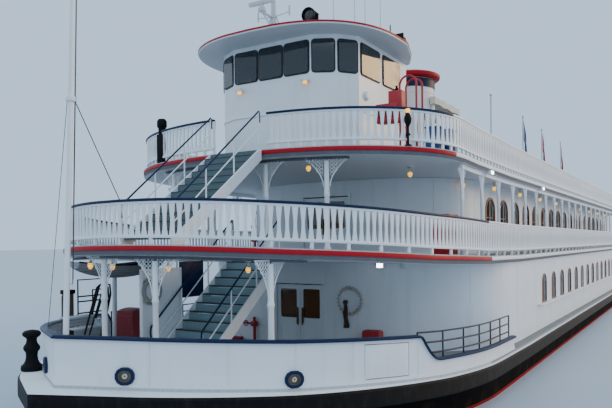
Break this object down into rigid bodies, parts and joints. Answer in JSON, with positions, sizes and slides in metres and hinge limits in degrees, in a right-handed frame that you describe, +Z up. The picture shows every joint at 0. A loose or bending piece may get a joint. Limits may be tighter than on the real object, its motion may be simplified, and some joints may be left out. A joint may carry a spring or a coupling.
{
  "type": "1:2 scale model of a stern-wheel paddle steamer",
  "caption": "Three-deck river paddle steamer with white railings, crimson deck edges, a wheelhouse, bow stairs and a turning stern wheel, as a 1:2 scale model.",
  "frame": {"origin": "on the floor under the middle of the whole boat, at the level of its flat bottom", "axes": "+X forward to the bow, +Y to port, +Z up"},
  "size_m": [32.44, 6.47, 8.1],
  "materials": {
    "white_paint": "satin marine enamel",
    "black_paint": "semi-matt hull paint",
    "navy_paint": "gloss enamel",
    "crimson_paint": "gloss enamel",
    "deck_paint": "matt non-slip deck paint",
    "tread_paint": "matt non-slip paint",
    "cream_paint": "satin enamel",
    "white_timber": "painted timber",
    "window_glass": "tinted glass",
    "machinery_steel": "bare steel",
    "wheel_paint": "painted timber and iron",
    "canvas": "matt canvas"
  },
  "bodies": {
    "boat": {"hull": "black_paint", "guard": "black_paint", "main_deck": "deck_paint", "bulwark": "white_paint", "bulwark_cap": "navy_paint", "boarding_rail_port": "navy_paint", "boarding_rail_starboard": "navy_paint", "main_house": "white_paint", "main_bow_posts": "white_timber", "side_prop": "white_timber", "lower_stair": "tread_paint", "boiler_deck": "deck_paint", "boiler_deck_edge": "crimson_paint", "boiler_deck_rail": "white_timber", "boiler_house": "white_paint", "boiler_house_glass": "window_glass", "boiler_bow_posts": "white_timber", "boiler_side_posts_port": "white_timber", "boiler_side_posts_starboard": "white_timber", "upper_stair": "tread_paint", "sun_deck": "deck_paint", "sun_deck_edge": "crimson_paint", "sun_deck_rail": "white_timber", "wheelhouse_base": "white_paint", "wheelhouse_walls": "white_paint", "wheelhouse_glass": "window_glass", "wheelhouse_roof": "white_paint", "radar_mast": "white_paint", "antenna_dome": "white_paint", "searchlight_stand": "black_paint", "aerials": "white_paint", "stair_tower": "cream_paint", "stair_tower_roof": "crimson_paint", "awning": "cream_paint", "bell_frame": "crimson_paint", "jackstaff": "white_paint", "mooring_post": "black_paint", "canvas_box": "canvas", "hose_locker": "crimson_paint", "engine_block": "machinery_steel", "stern_beam_port": "white_timber", "stern_beam_starboard": "white_timber"},
    "paddle_wheel": {"paddle_wheel": "wheel_paint"},
    "rudder_port": {"rudder_port": "black_paint"},
    "rudder_starboard": {"rudder_starboard": "black_paint"},
    "radar_scanner_lower": {"radar_scanner_lower": "white_paint"},
    "radar_scanner_upper": {"radar_scanner_upper": "white_paint"},
    "searchlight": {"searchlight": "black_paint"},
    "main_door_port": {"main_door_port": "white_paint"},
    "main_door_starboard": {"main_door_starboard": "white_paint"},
    "boiler_door_port": {"boiler_door_port": "white_paint"},
    "boiler_door_starboard": {"boiler_door_starboard": "white_paint"},
    "bulwark_gate_port": {"bulwark_gate_port": "white_paint"},
    "bulwark_gate_starboard": {"bulwark_gate_starboard": "white_paint"}
  },
  "joints": [
    {"name": "paddle_wheel_spin", "type": "hinge", "parent": "boat", "child": "paddle_wheel", "pos_m": [-14.445, 0, 1.925], "axis": [0, 1, 0], "continuous": true},
    {"name": "rudder_port_turn", "type": "hinge", "parent": "boat", "child": "rudder_port", "pos_m": [-11.145, 1.2, 0.3], "axis": [0, 0, 1], "range_deg": [-35, 35]},
    {"name": "rudder_starboard_turn", "type": "hinge", "parent": "boat", "child": "rudder_starboard", "pos_m": [-11.145, -1.2, 0.3], "axis": [0, 0, 1], "range_deg": [-35, 35]},
    {"name": "radar_lower_spin", "type": "hinge", "parent": "boat", "child": "radar_scanner_lower", "pos_m": [11.835, -0.2, 7.05], "axis": [0, 0, 1], "continuous": true},
    {"name": "radar_upper_spin", "type": "hinge", "parent": "boat", "child": "radar_scanner_upper", "pos_m": [11.505, -0.2, 7.385], "axis": [0, 0, 1], "continuous": true},
    {"name": "searchlight_pan", "type": "hinge", "parent": "boat", "child": "searchlight", "pos_m": [11.155, 0.3, 7], "axis": [0, 0, 1], "range_deg": [-170, 170]},
    {"name": "main_door_port_swing", "type": "hinge", "parent": "boat", "child": "main_door_port", "pos_m": [11.095, 0.445, 2], "axis": [0, 0, 1], "range_deg": [0, 100]},
    {"name": "main_door_starboard_swing", "type": "hinge", "parent": "boat", "child": "main_door_starboard", "pos_m": [11.095, -0.445, 2], "axis": [0, 0, -1], "range_deg": [0, 100]},
    {"name": "boiler_door_port_swing", "type": "hinge", "parent": "boat", "child": "boiler_door_port", "pos_m": [10.199, 0.445, 3.5], "axis": [0, 0, 1], "range_deg": [0, 100]},
    {"name": "boiler_door_starboard_swing", "type": "hinge", "parent": "boat", "child": "boiler_door_starboard", "pos_m": [10.199, -0.445, 3.5], "axis": [0, 0, -1], "range_deg": [0, 100]},
    {"name": "gate_port_swing", "type": "hinge", "parent": "boat", "child": "bulwark_gate_port", "pos_m": [13.61, 2.45976, 1.8], "axis": [0, 0, -1], "range_deg": [0, 90]},
    {"name": "gate_starboard_swing", "type": "hinge", "parent": "boat", "child": "bulwark_gate_starboard", "pos_m": [13.61, -2.45976, 1.8], "axis": [0, 0, 1], "range_deg": [0, 90]}
  ],
  "couplings": [
    {"joint": "rudder_starboard_turn", "follows": "rudder_port_turn", "ratio": 1}
  ]
}
